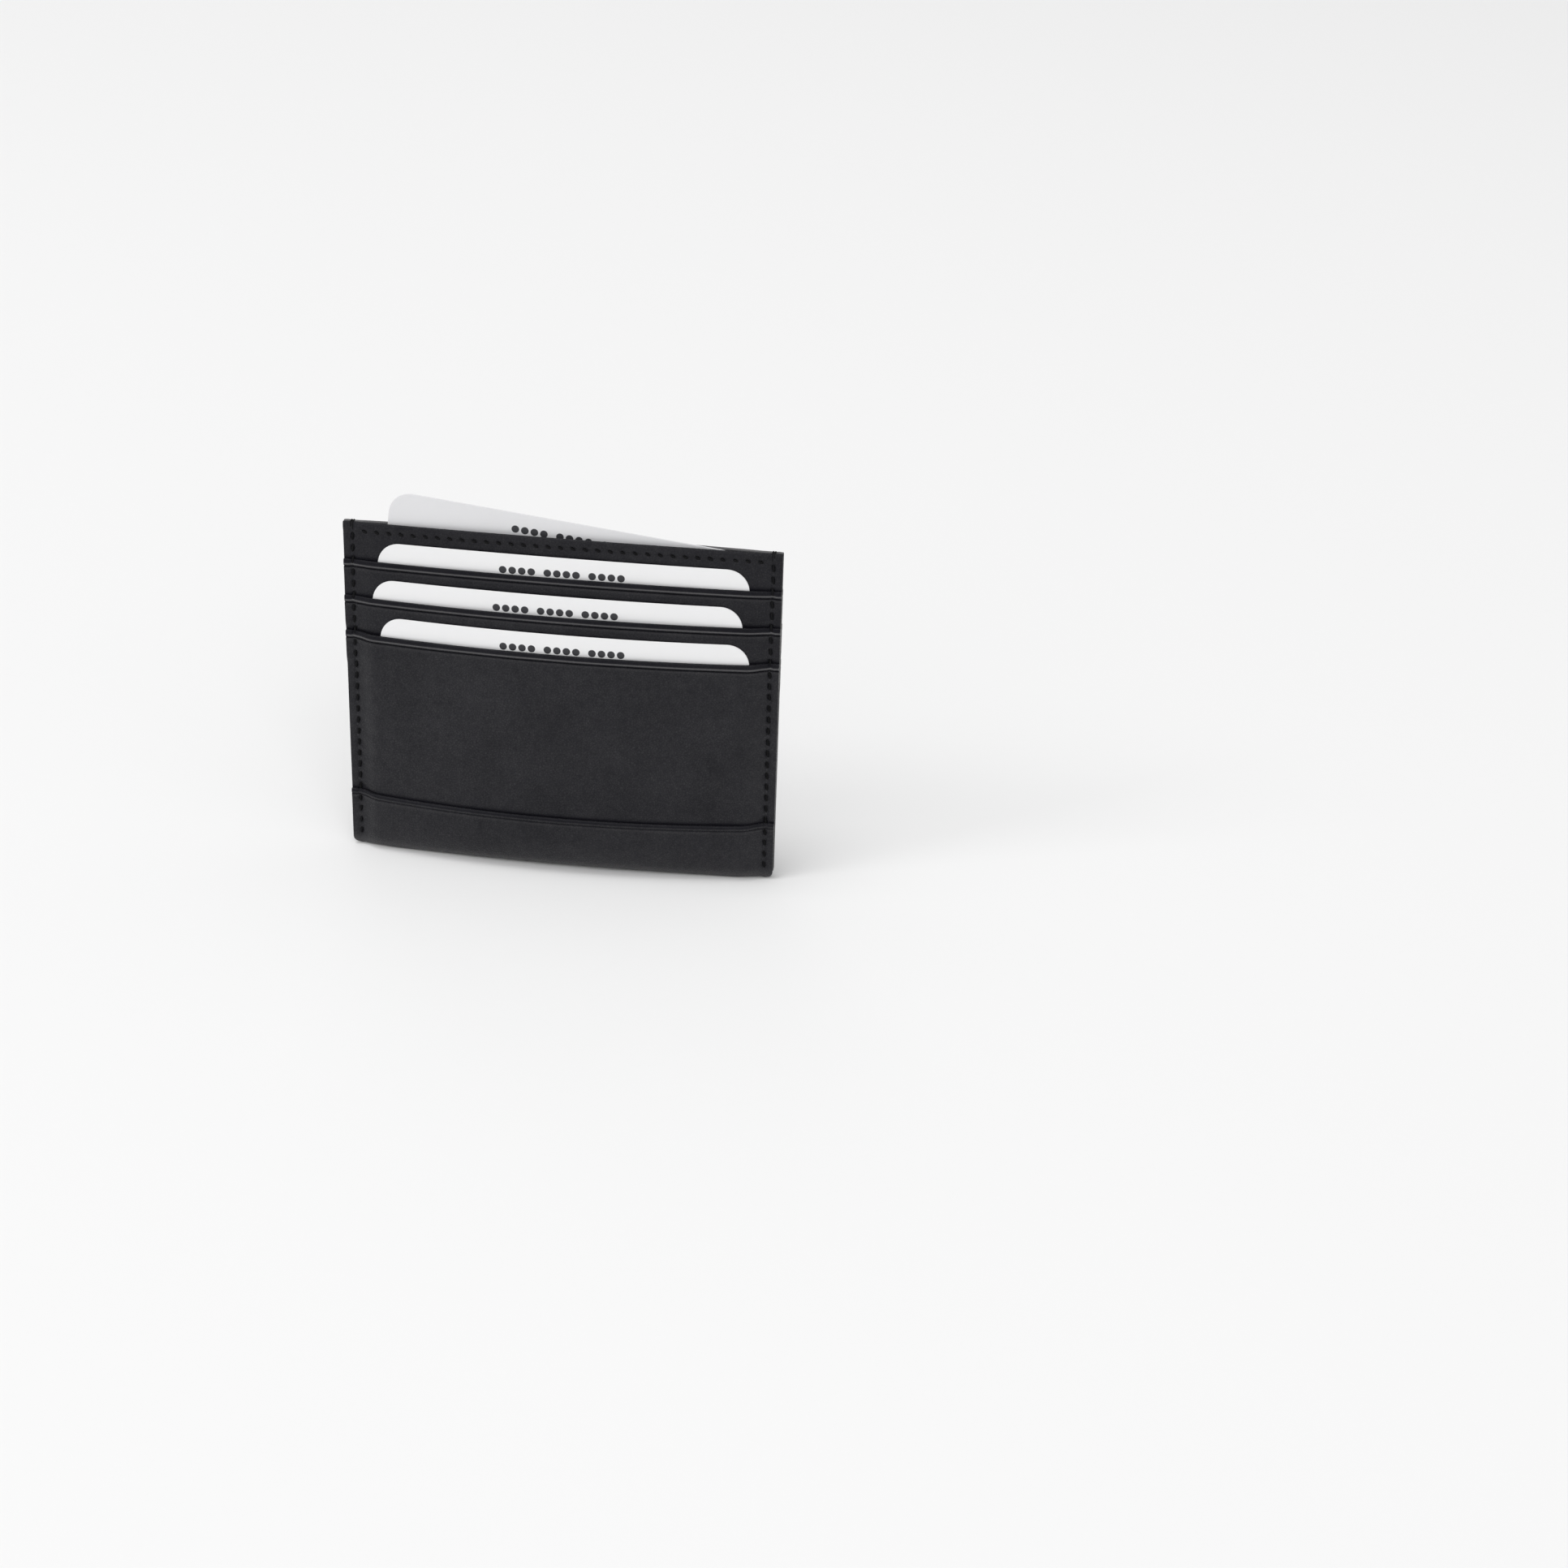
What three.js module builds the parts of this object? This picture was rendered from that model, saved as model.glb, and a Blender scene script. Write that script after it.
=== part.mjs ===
// Leather card holder: three stepped card slots on the front, three on the back, a centre pocket
// between them, and a dummy card in each. Millimetres, +Z up (the way the cards pull out), the front
// face looks along -Y, and the origin is the middle of the bottom fold, on the surface the holder
// stands on.
//
// Every sheet is a flat box whose grid of points is moved onto curved inner and outer surfaces. The
// sheets nest: a table of layers gives each one's distance from the middle plane beside the cards and
// its bulge at the crown, so a thicker card or leather pushes everything outside it further out.

import * as THREE from "three";

// ---- Driving sizes ------------------------------------------------------------------------------

const CARD_WIDTH = 85.6;
const CARD_HEIGHT = 54;
const CARD_THICKNESS = 0.3; // thin display blanks
const CARD_CORNER = 5.2;

const SLOT_COUNT = 3; // card slots on each face: the last one is the big pocket panel
const SLOT_PITCH = 8.75; // from one slot's edge to the next
const CARD_SHOWS = 4.75; // how far a card stands out of its slot
const POCKET_FLOOR = 6.25; // lowest card's bottom edge above the bottom fold
const TOP_BAND = 9; // from the highest slot's edge to the holder's top edge

const CARD_PLAY = 1.3; // side room for a card, each side
const DRAPE_WIDTH = 3.7; // over which the leather comes down from the cards to the side seam
const SEAM_WIDTH = 2.7; // flat margin outside the drape, which the side seam holds
const MOUTH_DRAPE = 2.2; // the same drape on the centre pocket's walls, where a card lies askew

const STRIP_BELOW_EDGE = 15; // a slot strip's height in leather, the rest of its pocket is cloth
const STRIP_LAP = 4.4; // how far the strip's thinned lower edge laps over its cloth
const CLOTH_MARGIN = 0.9; // cloth beyond the card's side room
const HEM_TURN = 8; // turned hem along the top of the base panels
const LIP_HEIGHT = 14.7; // the wrap's front lip above the bottom fold

const LINING_THICKNESS = 0.1;
const CLOTH_THICKNESS = 0.15;
const BASE_THICKNESS = 0.55;
const STRIP_THICKNESS = 0.4;
const PANEL_THICKNESS = 0.5;
const LIP_THICKNESS = 0.5;
const SKIVED = 0.05; // taken off each leather layer where it runs into the side seam

const THREAD_WIDTH = 0.5;
const THREAD_THICKNESS = 0.3;
const SIDE_STITCH_INSET = 2.1; // from the side edge
const HEM_STITCH_DROP = 2.2; // from the top edge

// ---- Clearances ---------------------------------------------------------------------------------

const LAYER_GAP = 0.1; // between two sheets sewn or glued together
const CARD_GAP = 0.1; // beside a card, each face
const BOTTOM_GAP = 0.35; // between edges that stand on the fold and the fold
const THREAD_GAP = 0.06;
const EDGE_STEP = 0.4; // a seam thread or wing clears a sheet's edge by this along the seam
const WING_STEP = 1.8; // height over which a wing drops onto the sheet below it

// ---- Derived places -----------------------------------------------------------------------------

const CARD_SIDE = CARD_WIDTH / 2 + CARD_PLAY; // the leather starts to come down here
const SEAM_START = CARD_SIDE + DRAPE_WIDTH;
const HALF_WIDTH = SEAM_START + SEAM_WIDTH;
const MOUTH_SIDE = SEAM_START - MOUTH_DRAPE;
const CLOTH_SIDE = CARD_SIDE + CLOTH_MARGIN;

const cardBottom = (slot) => POCKET_FLOOR + (SLOT_COUNT - slot) * SLOT_PITCH; // slot 1 is the highest
const slotEdge = (slot) => cardBottom(slot) + CARD_HEIGHT - CARD_SHOWS;
const HEIGHT = slotEdge(1) + TOP_BAND;

// Each sheet of one face, from the middle plane outwards. crown is how much further out it lies at the
// middle than beside the cards, because the stuffed leather bulges and bends the cards with it.
const LAYERS = [
  { name: "lining", thickness: LINING_THICKNESS, gap: CARD_GAP, crown: 0.65 },
  { name: "base", thickness: BASE_THICKNESS, gap: LAYER_GAP, crown: 0.7 },
  { name: "card_1", thickness: CARD_THICKNESS, gap: CARD_GAP, crown: 1.05 },
  { name: "strip_1", thickness: STRIP_THICKNESS, gap: CARD_GAP, crown: 1.4 },
  { name: "card_2", thickness: CARD_THICKNESS, gap: CARD_GAP, crown: 1.85 },
  { name: "strip_2", thickness: STRIP_THICKNESS, gap: CARD_GAP, crown: 2.35 },
  { name: "card_3", thickness: CARD_THICKNESS, gap: CARD_GAP, crown: 2.65 },
  { name: "panel", thickness: PANEL_THICKNESS, gap: CARD_GAP, crown: 2.9 },
  { name: "lip", thickness: LIP_THICKNESS, gap: LAYER_GAP, crown: 2.95 },
];
const BELLY = 1.3; // how much further out the pocket panels and the lip swell below their slot's edge

// Distance of each layer's inner face from the middle plane beside the cards, counted up from the
// centre card.
const beside = {};
let reach = CARD_THICKNESS / 2;
for (const layer of LAYERS) {
  beside[layer.name] = reach + layer.gap;
  reach = beside[layer.name] + layer.thickness;
}
const layerOf = (name) => LAYERS.find((layer) => layer.name === name);

// In the side seam there are no cards, so the sheets lie straight on each other, each skived thinner.
// A wing is any sheet on the base panel; a raised wing lies over the end of the wing above it.
const SEAM_BASE_THICKNESS = BASE_THICKNESS - SKIVED;
const SEAM_WING_THICKNESS = STRIP_THICKNESS - SKIVED;
const SEAM_LINING = LAYER_GAP / 2;
const SEAM_BASE = SEAM_LINING + LINING_THICKNESS + LAYER_GAP;
const SEAM_WING = SEAM_BASE + SEAM_BASE_THICKNESS + LAYER_GAP;
const SEAM_RAISED = SEAM_WING + SEAM_WING_THICKNESS + LAYER_GAP;
const SEAM_LIP = SEAM_WING + PANEL_THICKNESS - SKIVED + LAYER_GAP;

// ---- Surfaces -----------------------------------------------------------------------------------

const mix = (a, b, t) => a + (b - a) * t;
const clamp01 = (t) => Math.min(1, Math.max(0, t));
const ease = (t) => clamp01(t) ** 2 * (3 - 2 * clamp01(t));

// Distance from the middle plane of a point `depth` into a layer, at x: seam level outside SEAM_START,
// up the drape to the level beside the cards at `shoulder`, and on to the crown in a parabola.
const bulgeShare = (x) => 1 - Math.min(1, Math.abs(x) / CARD_SIDE) ** 2;
function reachAt(x, name, depth, seamLevel, shoulder = CARD_SIDE) {
  const level = beside[name] + depth;
  const drape = ease((SEAM_START - Math.abs(x)) / (SEAM_START - shoulder));
  return mix(seamLevel, level, drape) + layerOf(name).crown * bulgeShare(x);
}

// The swell of the pocket panels, which is whole from the lip's edge down and nothing at their slot's
// edge.
function bellyAt(x, z) {
  const below = slotEdge(SLOT_COUNT) - z;
  return BELLY * bulgeShare(x) * ease(below / (slotEdge(SLOT_COUNT) - LIP_HEIGHT));
}

// 1 where a wing lies over the end of the strip above it, 0 where it has come down onto the base panel.
const raised = (z, upperStripEnd) => ease((z - upperStripEnd + EDGE_STEP + WING_STEP) / WING_STEP);

// The bottom fold, seen along X: a flat that the holder stands on, then a quarter ellipse up to the
// full reach.
const FOLD_FLAT = 3.2; // half the flat beside the cards, inside
const FOLD_FLAT_CROWN = 1.6; // and how much wider it is under the bulge
const FOLD_RISE = 7.2;
const FOLD_FLAT_AT_SEAM = 0.25;
const FOLD_RISE_AT_SEAM = 1.2;
const FOLD_LIFT_AT_SEAM = 0.3; // the sewn corners stand this far off the table
const zoneShare = (x) => ease((SEAM_START - Math.abs(x)) / DRAPE_WIDTH);
const foldFlat = (x) =>
  mix(FOLD_FLAT_AT_SEAM, FOLD_FLAT + FOLD_FLAT_CROWN * bulgeShare(x), zoneShare(x));
const foldRise = (x) => mix(FOLD_RISE_AT_SEAM, FOLD_RISE, zoneShare(x));
const foldLift = (x) => mix(FOLD_LIFT_AT_SEAM, 0, zoneShare(x));

// How far out the inside of the fold is at height z, on its way to `full`.
function insideFold(x, z, full) {
  const climbed = clamp01((z - PANEL_THICKNESS - foldLift(x)) / foldRise(x));
  return foldFlat(x) + (full - foldFlat(x)) * Math.sqrt(1 - (1 - climbed) ** 2);
}

// ---- Grids --------------------------------------------------------------------------------------

const mirrored = (half) => [...half.map((x) => -x).reverse(), ...half];
const CROWN_COLUMNS = [0.115, 0.32, 0.52, 0.715, 0.875].map((share) => share * CARD_SIDE);
const MIDDLE_OF_MOUTH_DRAPE = (MOUTH_SIDE + SEAM_START) / 2;
const FULL_COLUMNS = mirrored([
  ...CROWN_COLUMNS, CARD_SIDE, MOUTH_SIDE, MIDDLE_OF_MOUTH_DRAPE, SEAM_START, HALF_WIDTH,
]);
const CLOTH_COLUMNS = mirrored([...CROWN_COLUMNS, CARD_SIDE, CLOTH_SIDE]);
const STRIP_COLUMNS = mirrored([
  ...CROWN_COLUMNS, CARD_SIDE, CLOTH_SIDE, CLOTH_SIDE + 2 * LAYER_GAP,
  MIDDLE_OF_MOUTH_DRAPE, SEAM_START, HALF_WIDTH,
]);

// A closed box of columns by rows, each of its points placed by point(x, row, outer).
function bentBox(columns, rows, point) {
  const geometry = new THREE.BoxGeometry(1, 1, 1, columns.length - 1, 1, rows.length - 1);
  const position = geometry.getAttribute("position");
  for (let n = 0; n < position.count; n++) {
    const column = Math.round((position.getX(n) + 0.5) * (columns.length - 1));
    const row = Math.round((position.getZ(n) + 0.5) * (rows.length - 1));
    position.setXYZ(n, ...point(columns[column], rows[row], position.getY(n) > 0));
  }
  geometry.computeVertexNormals();
  return geometry;
}

// A standing sheet of one face: reachIn and reachOut give the distance of its faces from the middle
// plane. side is -1 for the front and 1 for the back.
function sheet(side, columns, rows, reachIn, reachOut) {
  return bentBox(columns, rows, (x, z, far) => {
    const outer = far === side > 0;
    return [x, side * (outer ? reachOut(x, z) : reachIn(x, z)), z];
  });
}

// ---- Materials ----------------------------------------------------------------------------------

const matte = (name, color, roughness) =>
  new THREE.MeshStandardMaterial({ name, color, roughness, metalness: 0 });
const leather = matte("leather", 0x1b1b1d, 0.5);
const lining = matte("lining", 0x221f1d, 0.9);
const thread = matte("thread", 0x0c0c0d, 0.8);
const cardStock = matte("card", 0xf4f4f5, 0.4);

const holder = new THREE.Group();
function add(name, geometry, material) {
  const mesh = new THREE.Mesh(geometry, material);
  mesh.name = name;
  holder.add(mesh);
  return mesh;
}

// ---- Base panels and the centre pocket's lining -------------------------------------------------

const BASE_BOTTOM = PANEL_THICKNESS + FOLD_LIFT_AT_SEAM + FOLD_RISE_AT_SEAM;
const HEM_BOTTOM = HEIGHT - HEM_TURN;
const LINING_TOP = HEM_BOTTOM - LAYER_GAP;

const liningIn = (x) => reachAt(x, "lining", 0, SEAM_LINING, MOUTH_SIDE);
const liningOut = (x) =>
  reachAt(x, "lining", LINING_THICKNESS, SEAM_LINING + LINING_THICKNESS, MOUTH_SIDE);
const baseIn = (x) => reachAt(x, "base", 0, SEAM_BASE, MOUTH_SIDE);
const baseOut = (x) =>
  reachAt(x, "base", BASE_THICKNESS, SEAM_BASE + SEAM_BASE_THICKNESS, MOUTH_SIDE);

// The hem is the same leather turned back inside, down to where the lining starts. Its stitching pulls
// into a groove, so that the first card slides past it.
const hemGrooveFloor = (x) => baseOut(x) - THREAD_THICKNESS;
function basePanel(side) {
  const stitching = HEIGHT - HEM_STITCH_DROP;
  const groove = THREAD_WIDTH / 2 + LAYER_GAP;
  const grooveTop = groove + LAYER_GAP;
  const rows = [BASE_BOTTOM, HEM_BOTTOM - LAYER_GAP, HEM_BOTTOM];
  rows.push(stitching - grooveTop, stitching - groove, stitching + groove, stitching + grooveTop, HEIGHT);
  const inGroove = (x, z) =>
    Math.abs(x) < SEAM_START && Math.abs(z - stitching) < groove + LAYER_GAP / 2;
  const inner = (x, z) => (z < HEM_BOTTOM ? baseIn(x) : liningIn(x));
  const outer = (x, z) => (inGroove(x, z) ? hemGrooveFloor(x) : baseOut(x));
  return sheet(side, FULL_COLUMNS, rows, inner, outer);
}

// One cloth folded in a U: down the front wall, under the centre card and up the back wall.
function centreLining() {
  const under = BASE_BOTTOM - BOTTOM_GAP;
  const turn = under - LINING_THICKNESS;
  const path = [
    { side: -1, in: LINING_TOP, out: LINING_TOP },
    { side: -1, in: BASE_BOTTOM, out: BASE_BOTTOM },
    { side: -1, in: under, out: turn },
    { side: 1, in: under, out: turn },
    { side: 1, in: BASE_BOTTOM, out: BASE_BOTTOM },
    { side: 1, in: LINING_TOP, out: LINING_TOP },
  ];
  return bentBox(FULL_COLUMNS, path, (x, step, outer) => [
    x, step.side * (outer ? liningOut(x) : liningIn(x)), outer ? step.out : step.in,
  ]);
}

// ---- Slot strips and their cloth ----------------------------------------------------------------

const stripEnd = (slot) => slotEdge(slot) - STRIP_BELOW_EDGE;

// Level of a sheet's inner face in the side seam: on the base, or raised over the strip above where
// there is one.
function wingLevel(slot, z) {
  return slot === 1 ? SEAM_WING : mix(SEAM_WING, SEAM_RAISED, raised(z, stripEnd(slot - 1)));
}
const wingRows = (slot) =>
  [1, 0.5, 0].map((share) => stripEnd(slot - 1) - EDGE_STEP - share * WING_STEP);

// The strip is leather down to its lap, where it is thinned so that the cloth lies in its thickness.
function slotStrip(side, slot) {
  const name = `strip_${slot}`;
  const end = stripEnd(slot);
  const lapTop = end + STRIP_LAP;
  const rows = [end, lapTop, lapTop + LAYER_GAP, slotEdge(slot)];
  if (slot > 1) rows.push(...wingRows(slot));
  rows.sort((a, b) => a - b);
  const inner = (x, z) => {
    const overCloth = z <= lapTop && Math.abs(x) <= CLOTH_SIDE;
    const hollow = overCloth ? CLOTH_THICKNESS + LAYER_GAP : 0;
    return reachAt(x, name, 0, wingLevel(slot, z)) + hollow;
  };
  const outer = (x, z) =>
    reachAt(x, name, STRIP_THICKNESS, wingLevel(slot, z) + SEAM_WING_THICKNESS);
  return sheet(side, STRIP_COLUMNS, rows, inner, outer);
}

// The cloth hangs from the lap and is sewn down to the base panel just under its card.
const CLOTH_HEM = 2.4;
const CLOTH_FALL = 0.6; // height that it comes in by a millimetre over
const clothSewn = (slot) => {
  const inwards = reachAt(0, `strip_${slot}`, 0, SEAM_WING) - baseOut(0);
  return cardBottom(slot) - EDGE_STEP - CLOTH_FALL * inwards;
};
function slotCloth(side, slot) {
  const name = `strip_${slot}`;
  const sewn = clothSewn(slot);
  const fall = cardBottom(slot) - EDGE_STEP;
  const top = stripEnd(slot) + STRIP_LAP - LAYER_GAP;
  const inner = (x, z) => {
    const hanging = reachAt(x, name, 0, wingLevel(slot, top));
    return mix(baseOut(x) + LAYER_GAP, hanging, clamp01((z - sewn) / (fall - sewn)));
  };
  const rows = [sewn - CLOTH_HEM, sewn, fall, top];
  return sheet(side, CLOTH_COLUMNS, rows, inner, (x, z) => inner(x, z) + CLOTH_THICKNESS);
}

// ---- Pocket panels and the wrap -----------------------------------------------------------------

const panelIn = (x, z) => reachAt(x, "panel", 0, wingLevel(SLOT_COUNT, z)) + bellyAt(x, z);
const panelOut = (x, z) => {
  const seamLevel = wingLevel(SLOT_COUNT, z) + PANEL_THICKNESS - SKIVED;
  return reachAt(x, "panel", PANEL_THICKNESS, seamLevel) + bellyAt(x, z);
};
const lipIn = (x) => reachAt(x, "lip", 0, SEAM_LIP) + bellyAt(x, LIP_HEIGHT);
const lipOut = (x) => {
  const seamLevel = SEAM_LIP + LIP_THICKNESS - SKIVED;
  return reachAt(x, "lip", LIP_THICKNESS, seamLevel) + bellyAt(x, LIP_HEIGHT);
};
const swellRows = [0.25, 0.5, 0.72].map((share) => mix(LIP_HEIGHT, slotEdge(SLOT_COUNT), share));
const panelTopRows = [...swellRows, ...wingRows(SLOT_COUNT), slotEdge(SLOT_COUNT)];

// The front panel runs down inside the lip and follows the fold inwards.
const PANEL_BOTTOM = 3.2;
function frontPanel() {
  const foldTop = PANEL_THICKNESS + FOLD_RISE;
  const foldRows = [0, 0.2, 0.42, 0.68, 1].map((share) => mix(PANEL_BOTTOM, foldTop, share));
  const rows = [...foldRows, LIP_HEIGHT, ...panelTopRows];
  const outer = (x, z) => {
    if (z > foldTop) return panelOut(x, z);
    return Math.min(panelOut(x, z), insideFold(x, z, lipIn(x)) - LAYER_GAP);
  };
  const inner = (x, z) => outer(x, z) - (panelOut(x, z) - panelIn(x, z));
  return sheet(-1, FULL_COLUMNS, rows, inner, outer);
}

// One leather piece: the lip on the front, the bottom fold, and the whole back pocket panel.
function wrap() {
  const arc = [0, 15, 30, 45, 60, 75, 90].map(THREE.MathUtils.degToRad);
  const path = [
    { side: -1, z: LIP_HEIGHT },
    ...arc.toReversed().map((angle) => ({ side: -1, angle })),
    ...arc.map((angle) => ({ side: 1, angle })),
    ...[LIP_HEIGHT, ...panelTopRows].map((z) => ({ side: 1, z })),
  ];
  const lip = (x, outer) => (outer ? lipOut(x) : lipIn(x));
  const panel = (x, z, outer) => (outer ? panelOut(x, z) : panelIn(x, z));
  return bentBox(FULL_COLUMNS, path, (x, step, outer) => {
    const full = step.side < 0 ? lip(x, outer) : panel(x, step.z ?? 0, outer);
    if (step.angle === undefined) return [x, step.side * full, step.z];
    const thickness = outer ? PANEL_THICKNESS : 0;
    const flat = foldFlat(x) + thickness / 2;
    const rise = foldRise(x) + thickness;
    const floor = foldLift(x) + PANEL_THICKNESS - thickness;
    const y = step.side * mix(flat, full, Math.sin(step.angle));
    return [x, y, floor + rise * (1 - Math.cos(step.angle))];
  });
}

// ---- Threads ------------------------------------------------------------------------------------

// The outermost sheet at the side stitch line, at height z.
function seamSurface(side, z) {
  const x = HALF_WIDTH - SIDE_STITCH_INSET;
  if (side < 0 && z < LIP_HEIGHT + EDGE_STEP) return lipOut(x);
  if (z < slotEdge(SLOT_COUNT) + EDGE_STEP) return panelOut(x, z);
  for (let slot = SLOT_COUNT - 1; slot >= 1; slot--) {
    if (z < slotEdge(slot) + EDGE_STEP) return wingLevel(slot, z) + SEAM_WING_THICKNESS;
  }
  return baseOut(x);
}

// A seam thread climbs over each slot's edge, so it has a row just under and just over each step.
function sideThread(side, hand) {
  const middle = hand * (HALF_WIDTH - SIDE_STITCH_INSET);
  const steps = [1, 2, 3].map((slot) => slotEdge(slot) + EDGE_STEP);
  if (side < 0) steps.push(LIP_HEIGHT + EDGE_STEP);
  const rows = [HEM_STITCH_DROP, HEIGHT - HEM_STITCH_DROP];
  for (const step of steps) rows.push(step - LAYER_GAP / 10, step + WING_STEP / 3);
  for (let slot = 2; slot <= SLOT_COUNT; slot++) {
    rows.push(...wingRows(slot).filter((z) => z < slotEdge(slot)));
  }
  rows.sort((a, b) => a - b);
  const under = (x, z) => seamSurface(side, z) + THREAD_GAP;
  const columns = [middle - THREAD_WIDTH / 2, middle + THREAD_WIDTH / 2];
  return sheet(side, columns, rows, under, (x, z) => under(x, z) + THREAD_THICKNESS);
}

// A thread across the holder at height z, lying on a surface that bulges.
function crossThread(side, z, halfLength, surface) {
  const columns = mirrored([...CROWN_COLUMNS, halfLength]);
  const rows = [z - THREAD_WIDTH / 2, z + THREAD_WIDTH / 2];
  const under = (x) => surface(x) + THREAD_GAP;
  return sheet(side, columns, rows, under, (x) => under(x) + THREAD_THICKNESS);
}

// ---- Cards --------------------------------------------------------------------------------------

// How far each card has slipped sideways in its slot.
const CARD_SHIFT = { front: [0.4, -0.85, 1.0], back: [-1.0, -0.5, -1.0] };

// A slot card bends with the leather, about an upright axis, so it still slides straight up.
function slotCard(side, slot, shift) {
  const round = [90, 67.5, 45, 22.5, 0].map(THREE.MathUtils.degToRad);
  const straight = CARD_WIDTH / 2 - CARD_CORNER;
  const half = [
    ...[0.12, 0.36, 0.6, 0.82].map((share) => share * straight),
    ...round.map((angle) => straight + CARD_CORNER * Math.cos(angle)),
  ];
  const name = `card_${slot}`;
  const cornerCut = (offset) => {
    const into = Math.max(0, Math.abs(offset) - straight);
    return CARD_CORNER - Math.sqrt(Math.max(0, CARD_CORNER ** 2 - into ** 2));
  };
  return bentBox(mirrored(half), [0, 1], (offset, end, far) => {
    const x = offset + shift;
    const outer = far === side > 0;
    const level = reachAt(x, name, outer ? CARD_THICKNESS : 0, 0);
    const bottom = cardBottom(slot) + cornerCut(offset);
    const top = cardBottom(slot) + CARD_HEIGHT - cornerCut(offset);
    return [x, side * level, end ? top : bottom];
  });
}

// The centre card is flat, stands out of the mouth and leans to one side.
const CENTRE_TILT = THREE.MathUtils.degToRad(6.24);
const CENTRE_SHIFT = 0.36;
const CENTRE_RISES = 8.1; // its higher corner above the holder's top edge, before rounding
function centreCard() {
  const w = CARD_WIDTH / 2;
  const h = CARD_HEIGHT / 2;
  const r = CARD_CORNER;
  const outline = new THREE.Shape();
  outline.absarc(w - r, h - r, r, 0, Math.PI / 2);
  outline.absarc(r - w, h - r, r, Math.PI / 2, Math.PI);
  outline.absarc(r - w, r - h, r, Math.PI, Math.PI * 1.5);
  outline.absarc(w - r, r - h, r, Math.PI * 1.5, Math.PI * 2);
  const geometry = new THREE.ExtrudeGeometry(outline, {
    depth: CARD_THICKNESS, bevelEnabled: false, curveSegments: 5,
  });
  return geometry.translate(0, 0, -CARD_THICKNESS / 2).rotateX(Math.PI / 2);
}

// ---- Assembly -----------------------------------------------------------------------------------

add("outer_wrap", wrap(), leather);
add("front_pocket_panel", frontPanel(), leather);
add("centre_pocket_lining", centreLining(), lining);

for (const [face, side] of [["front", -1], ["back", 1]]) {
  add(`${face}_base_panel`, basePanel(side), leather);
  for (let slot = 1; slot < SLOT_COUNT; slot++) {
    add(`${face}_slot_strip_${slot}`, slotStrip(side, slot), leather);
    add(`${face}_slot_cloth_${slot}`, slotCloth(side, slot), lining);
    const onCloth = (x) => baseOut(x) + LAYER_GAP + CLOTH_THICKNESS;
    const sewing = crossThread(side, clothSewn(slot) - CLOTH_HEM / 2, CARD_SIDE, onCloth);
    add(`${face}_slot_${slot}_bottom_thread`, sewing, thread);
  }
  const hemHalf = HALF_WIDTH - 2 * SIDE_STITCH_INSET - THREAD_WIDTH;
  const hemming = crossThread(side, HEIGHT - HEM_STITCH_DROP, hemHalf, hemGrooveFloor);
  add(`${face}_hem_thread`, hemming, thread);
  add(`${face}_left_seam_thread`, sideThread(side, -1), thread);
  add(`${face}_right_seam_thread`, sideThread(side, 1), thread);
  CARD_SHIFT[face].forEach((shift, index) => {
    add(`${face}_card_${index + 1}`, slotCard(side, index + 1, shift), cardStock);
  });
}

const cornerHeight =
  (CARD_WIDTH * Math.sin(CENTRE_TILT) + CARD_HEIGHT * Math.cos(CENTRE_TILT)) / 2;
const centre = add("centre_card", centreCard(), cardStock);
centre.rotation.y = CENTRE_TILT;
centre.position.set(CENTRE_SHIFT, 0, HEIGHT + CENTRE_RISES - cornerHeight);

export default holder;
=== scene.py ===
import math

import bmesh
import bpy
import numpy as np
from mathutils import Matrix, Vector
from mathutils.bvhtree import BVHTree


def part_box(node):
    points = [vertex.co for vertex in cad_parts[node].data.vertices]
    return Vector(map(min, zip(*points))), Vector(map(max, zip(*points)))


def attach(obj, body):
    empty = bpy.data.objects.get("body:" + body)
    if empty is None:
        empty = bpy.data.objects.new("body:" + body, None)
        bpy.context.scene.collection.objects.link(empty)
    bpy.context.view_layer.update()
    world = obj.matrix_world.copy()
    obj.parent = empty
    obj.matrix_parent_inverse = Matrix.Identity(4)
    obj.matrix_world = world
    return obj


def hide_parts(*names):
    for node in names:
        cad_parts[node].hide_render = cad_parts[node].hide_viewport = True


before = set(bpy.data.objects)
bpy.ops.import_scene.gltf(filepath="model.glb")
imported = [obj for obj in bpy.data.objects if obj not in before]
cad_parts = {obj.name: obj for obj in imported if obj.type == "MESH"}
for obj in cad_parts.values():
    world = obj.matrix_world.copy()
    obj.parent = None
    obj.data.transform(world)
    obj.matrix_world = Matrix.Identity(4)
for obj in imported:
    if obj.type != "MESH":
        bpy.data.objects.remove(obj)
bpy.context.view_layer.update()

# Looks of the leather card holder. Meshes are worked out in millimetres, in the frame's own axes, and scaled
# to metres when they are made. FRONT faces -Y and BACK faces +Y, and a sheet's reach is how far it lies from
# the middle plane between them.

MM = 0.001
FRONT, BACK = -1, 1
FACES = {"front": FRONT, "back": BACK}


# ---- Places read from the frame ----------------------------------------------------------------------

def low(cad_name):
    return np.array(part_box(cad_name)[0]) / MM


def high(cad_name):
    return np.array(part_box(cad_name)[1]) / MM


def vertices(cad_name):
    return np.array([v.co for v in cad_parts[cad_name].data.vertices]) / MM


TREES = {}


def tree_of(cad_name):
    if cad_name not in TREES:
        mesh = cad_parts[cad_name].data
        faces = [list(face.vertices) for face in mesh.polygons]
        TREES[cad_name] = BVHTree.FromPolygons([v.co for v in mesh.vertices], faces)
    return TREES[cad_name]


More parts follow.
